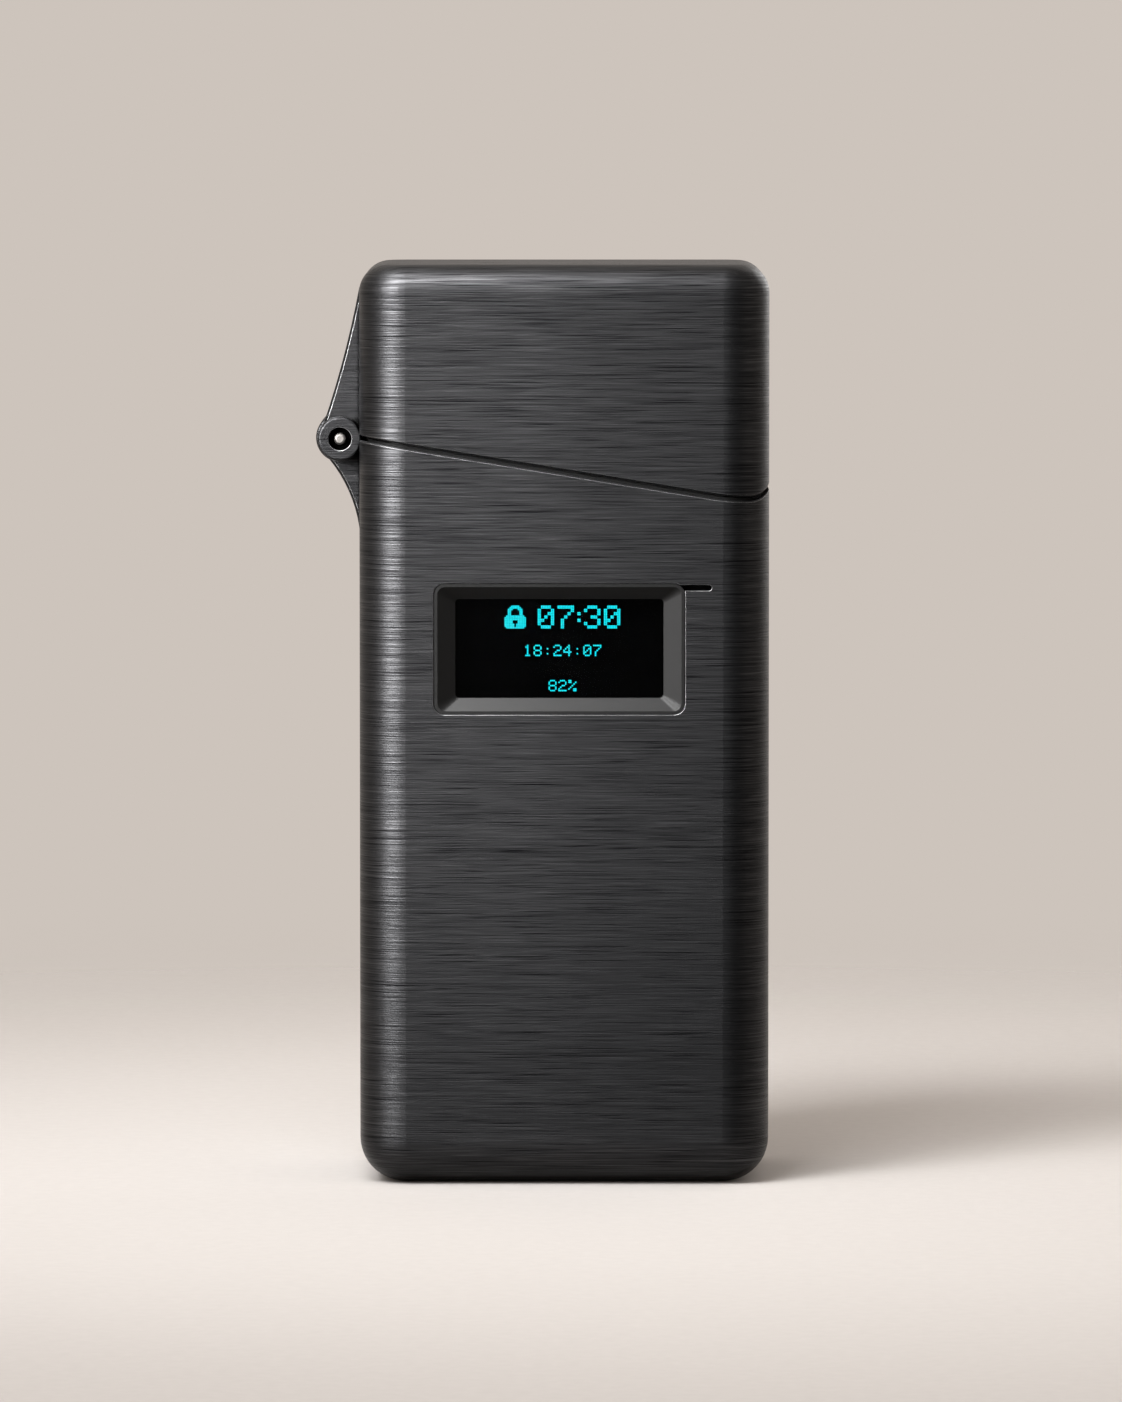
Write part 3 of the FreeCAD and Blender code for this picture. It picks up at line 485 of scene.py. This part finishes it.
# Dots by row, as a small display's own character set draws them.
FIGURES = {
    "padlock": (
        "....#####....",
        "...#######...",
        "..###...###..",
        "..##.....##..",
        "..##.....##..",
        "..##.....##..",
        ".###########.",
        "#############",
        "#############",
        "#####...#####",
        "#####...#####",
        "######.######",
        "######.######",
        ".###########.",
    ),
    "0": (".###.", "#...#", "#..##", "#.#.#", "##..#", "#...#", ".###."),
    "1": ("..#..", ".##..", "..#..", "..#..", "..#..", "..#..", ".###."),
    "2": (".###.", "#...#", "....#", "..##.", ".#...", "#....", "#####"),
    "3": (".###.", "#...#", "....#", "..##.", "....#", "#...#", ".###."),
    "4": ("...#.", "..##.", ".#.#.", "#..#.", "#####", "...#.", "...#."),
    "7": ("#####", "....#", "...#.", "..#..", ".#...", ".#...", ".#..."),
    "8": (".###.", "#...#", "#...#", ".###.", "#...#", "#...#", ".###."),
    ":": (".....", ".....", "..#..", ".....", ".....", "..#..", "....."),
    "narrow colon": (".", ".", "#", ".", "#", ".", "."),
    "%": ("##...", "##..#", "...#.", "..#..", ".#...", "#..##", "...##"),
}
# Millimetres: how wide and thick a lit dot is, and how round its corners.
DOT_WIDE, DOT_THICK, DOT_CORNER = 0.2, 0.05, 0.03
# Millimetres: the readout's middle, and how high each of its lines stands.
READOUT_X = -0.26
TOP_LINE, TIME_LINE, CHARGE_LINE = 79.1, 74.45, 69.55


def lit_places(marks, size):
    """Column and row of each lit dot in a line of marks, and the line's reach in dots."""
    lit, left = [], 0
    for mark in marks:
        rows = FIGURES[mark]
        lit += [
            (left + column * size + right, row * size + down)
            for row, line in enumerate(rows)
            for column, dot in enumerate(line) if dot == "#"
            for right in range(size) for down in range(size)
        ]
        left += (len(rows[0]) + 1) * size
    return lit, left - size, len(rows) * size


def dot_pad():
    """One lit dot: a thin square pad with rounded corners, its face forward."""
    bpy.ops.mesh.primitive_cube_add(size=MM, scale=(DOT_WIDE, DOT_THICK, DOT_WIDE))
    pad = bpy.context.object
    bpy.ops.object.transform_apply()
    for edge in pad.data.edges:
        a, b = [pad.data.vertices[end].co for end in edge.vertices]
        edge.select = abs(a.y - b.y) > DOT_THICK * MM / 2
    bpy.ops.object.mode_set(mode="EDIT")
    bpy.ops.mesh.bevel(offset=DOT_CORNER * MM, segments=2)
    bpy.ops.object.mode_set(mode="OBJECT")
    return pad


def readout(name, marks, size, x, z):
    """A line of lit dots on the display glass, its middle at x and z millimetres.

    A mark's dot is size dots of the display wide and high.
    """
    lit, columns, rows = lit_places(marks, size)
    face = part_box("oled_glass")[0].y - DOT_THICK * MM / 2
    pad = dot_pad()
    copies = []
    for column, row in lit:
        copy = pad.copy()
        copy.data = pad.data.copy()
        copy.location = (
            (x + (column - (columns - 1) / 2) * DOT_PITCH) * MM,
            face,
            (z - (row - (rows - 1) / 2) * DOT_PITCH) * MM,
        )
        bpy.context.collection.objects.link(copy)
        copies.append(copy)
    bpy.data.objects.remove(pad)
    bpy.ops.object.select_all(action="DESELECT")
    for copy in copies:
        copy.select_set(True)
    bpy.context.view_layer.objects.active = copies[0]
    bpy.ops.object.join()
    bpy.ops.object.transform_apply()
    piece = bpy.context.object
    piece.name = name
    piece.data.name = name
    piece.data.materials.append(bpy.data.materials["lit_cyan_dots"])
    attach(piece, "case")
    bpy.ops.object.select_all(action="DESELECT")


HOURS = ["0", "7", "narrow colon", "3", "0"]
readout("readout_padlock", ["padlock"], size=1, x=READOUT_X - 6.56, z=TOP_LINE)
readout("readout_hours", HOURS, size=2, x=READOUT_X + 2.3, z=TOP_LINE)
readout("readout_time", "18:24:07", size=1, x=READOUT_X, z=TIME_LINE)
readout("readout_charge", "82%", size=1, x=READOUT_X, z=CHARGE_LINE)


# ---------------------------------------------------------------- studio

def turned_to(thing, target):
    """Points a lamp, a card or the camera at a place."""
    way = Vector(target) - thing.location
    thing.rotation_euler = way.to_track_quat("-Z", "Y").to_euler()


def softbox(name, place, target, wide, tall, strength, grid=180):
    """A soft lamp, out of the camera's sight, whose grid keeps its light in a cone.

    The strength is how bright its face is, and the grid is the cone's angle in degrees.
    """
    bpy.ops.object.light_add(type="AREA", location=place)
    lamp = bpy.context.object
    lamp.name = name
    lamp.data.shape = "RECTANGLE"
    lamp.data.size, lamp.data.size_y = wide, tall
    lamp.data.spread = math.radians(grid)
    lamp.data.energy = strength * math.pi * wide * tall
    lamp.visible_camera = False
    turned_to(lamp, target)
    return lamp


def gleam(*place, **light):
    """A softbox that shows in glossy surfaces and leaves matt ones as they are."""
    softbox(*place, **light).visible_diffuse = False


def dark_card(name, place, target, wide, tall):
    """A black card that only reflections see, and that casts no shadow."""
    bpy.ops.mesh.primitive_plane_add(size=1, location=place)
    card = bpy.context.object
    card.name = name
    card.scale = (wide, tall, 1)
    turned_to(card, target)
    bpy.ops.object.transform_apply()
    card.data.materials.append(bpy.data.materials["black_card"])
    card.visible_camera = False
    card.visible_diffuse = False
    card.visible_shadow = False


# The floor lies just under the case, so that the two faces don't share a plane.
FLOOR_RADIUS = 0.7
FLOOR_DROP = 0.00005
bpy.ops.mesh.primitive_circle_add(
    vertices=96, radius=FLOOR_RADIUS, fill_type="NGON", location=(0, 0, -FLOOR_DROP)
)
bpy.ops.object.transform_apply()
floor = bpy.context.object
floor.name = "floor"
matt_paper(centre=(0, -0.1, 0), near=0.22, far=0.5)
floor.data.materials.append(bpy.data.materials["matt_paper"])

# Light for every surface: a key from the upper left, and a small box overhead.
softbox(
    "key_softbox", (-0.5, -0.6, 0.78), (0, 0, 0.1), wide=0.32, tall=0.32, strength=17
)
softbox(
    "overhead_softbox", (-0.09, -0.15, 0.31), (0, 0, 0.12), wide=0.2, tall=0.13,
    strength=3.5, grid=100,
)
# Bright bands in the metal: down the left round, along the lid's top, and behind.
gleam(
    "side_gleam", (-0.15, -0.16, 0.19), (-0.04, 0, 0.135), wide=0.2, tall=0.26,
    strength=4.6, grid=42,
)
gleam(
    "lid_gleam", (-0.075, -0.105, 0.31), (-0.01, -0.018, 0.126), wide=0.16, tall=0.08,
    strength=41,
)
gleam("rear_gleam", (0.3, 0.4, 0.25), (0, 0, 0.07), wide=0.3, tall=0.3, strength=3)
# Dark bands in the metal: the right round, the lower end, and the front as a whole.
black_card_face()
dark_card("near_card", (0.026, -0.058, 0.14), (0.02, 0, 0.14), wide=0.09, tall=0.27)
dark_card("low_card", (0.05, -0.13, 0.002), (0.05, -0.13, 1), wide=0.26, tall=0.2)
dark_card("front_card", (0.6, -1.75, 0.1), (0.6, 0, 0.1), wide=2.4, tall=2.2)

room = bpy.context.scene.world
if room is None:
    room = bpy.data.worlds.new("pale_room")
    bpy.context.scene.world = room
room.name = "pale_room"
room.use_nodes = True
room_light = room.node_tree.nodes["Background"]
room_light.inputs["Color"].default_value = linear("cdc4bc")
room_light.inputs["Strength"].default_value = 1

# A long lens a little above the lid. The angle is in degrees, the focal length and the
# frame's long side in pixels, and the sensor in millimetres.
CAMERA = Vector((-0.00046, -1.318, 0.16))
LOOKING_DOWN = 4.0647
FOCUS_PIXELS = 9401.7
LONG_SIDE = 1402
SENSOR = 36
bpy.ops.object.camera_add(location=CAMERA)
camera = bpy.context.object
camera.name = "camera"
camera.data.sensor_width = SENSOR
camera.data.lens = FOCUS_PIXELS * SENSOR / LONG_SIDE
camera.data.clip_start = 0.05
turned_to(camera, CAMERA + Vector((0, 1, -math.tan(math.radians(LOOKING_DOWN)))))
bpy.context.scene.camera = camera
bpy.context.scene.view_settings.view_transform = "Standard"
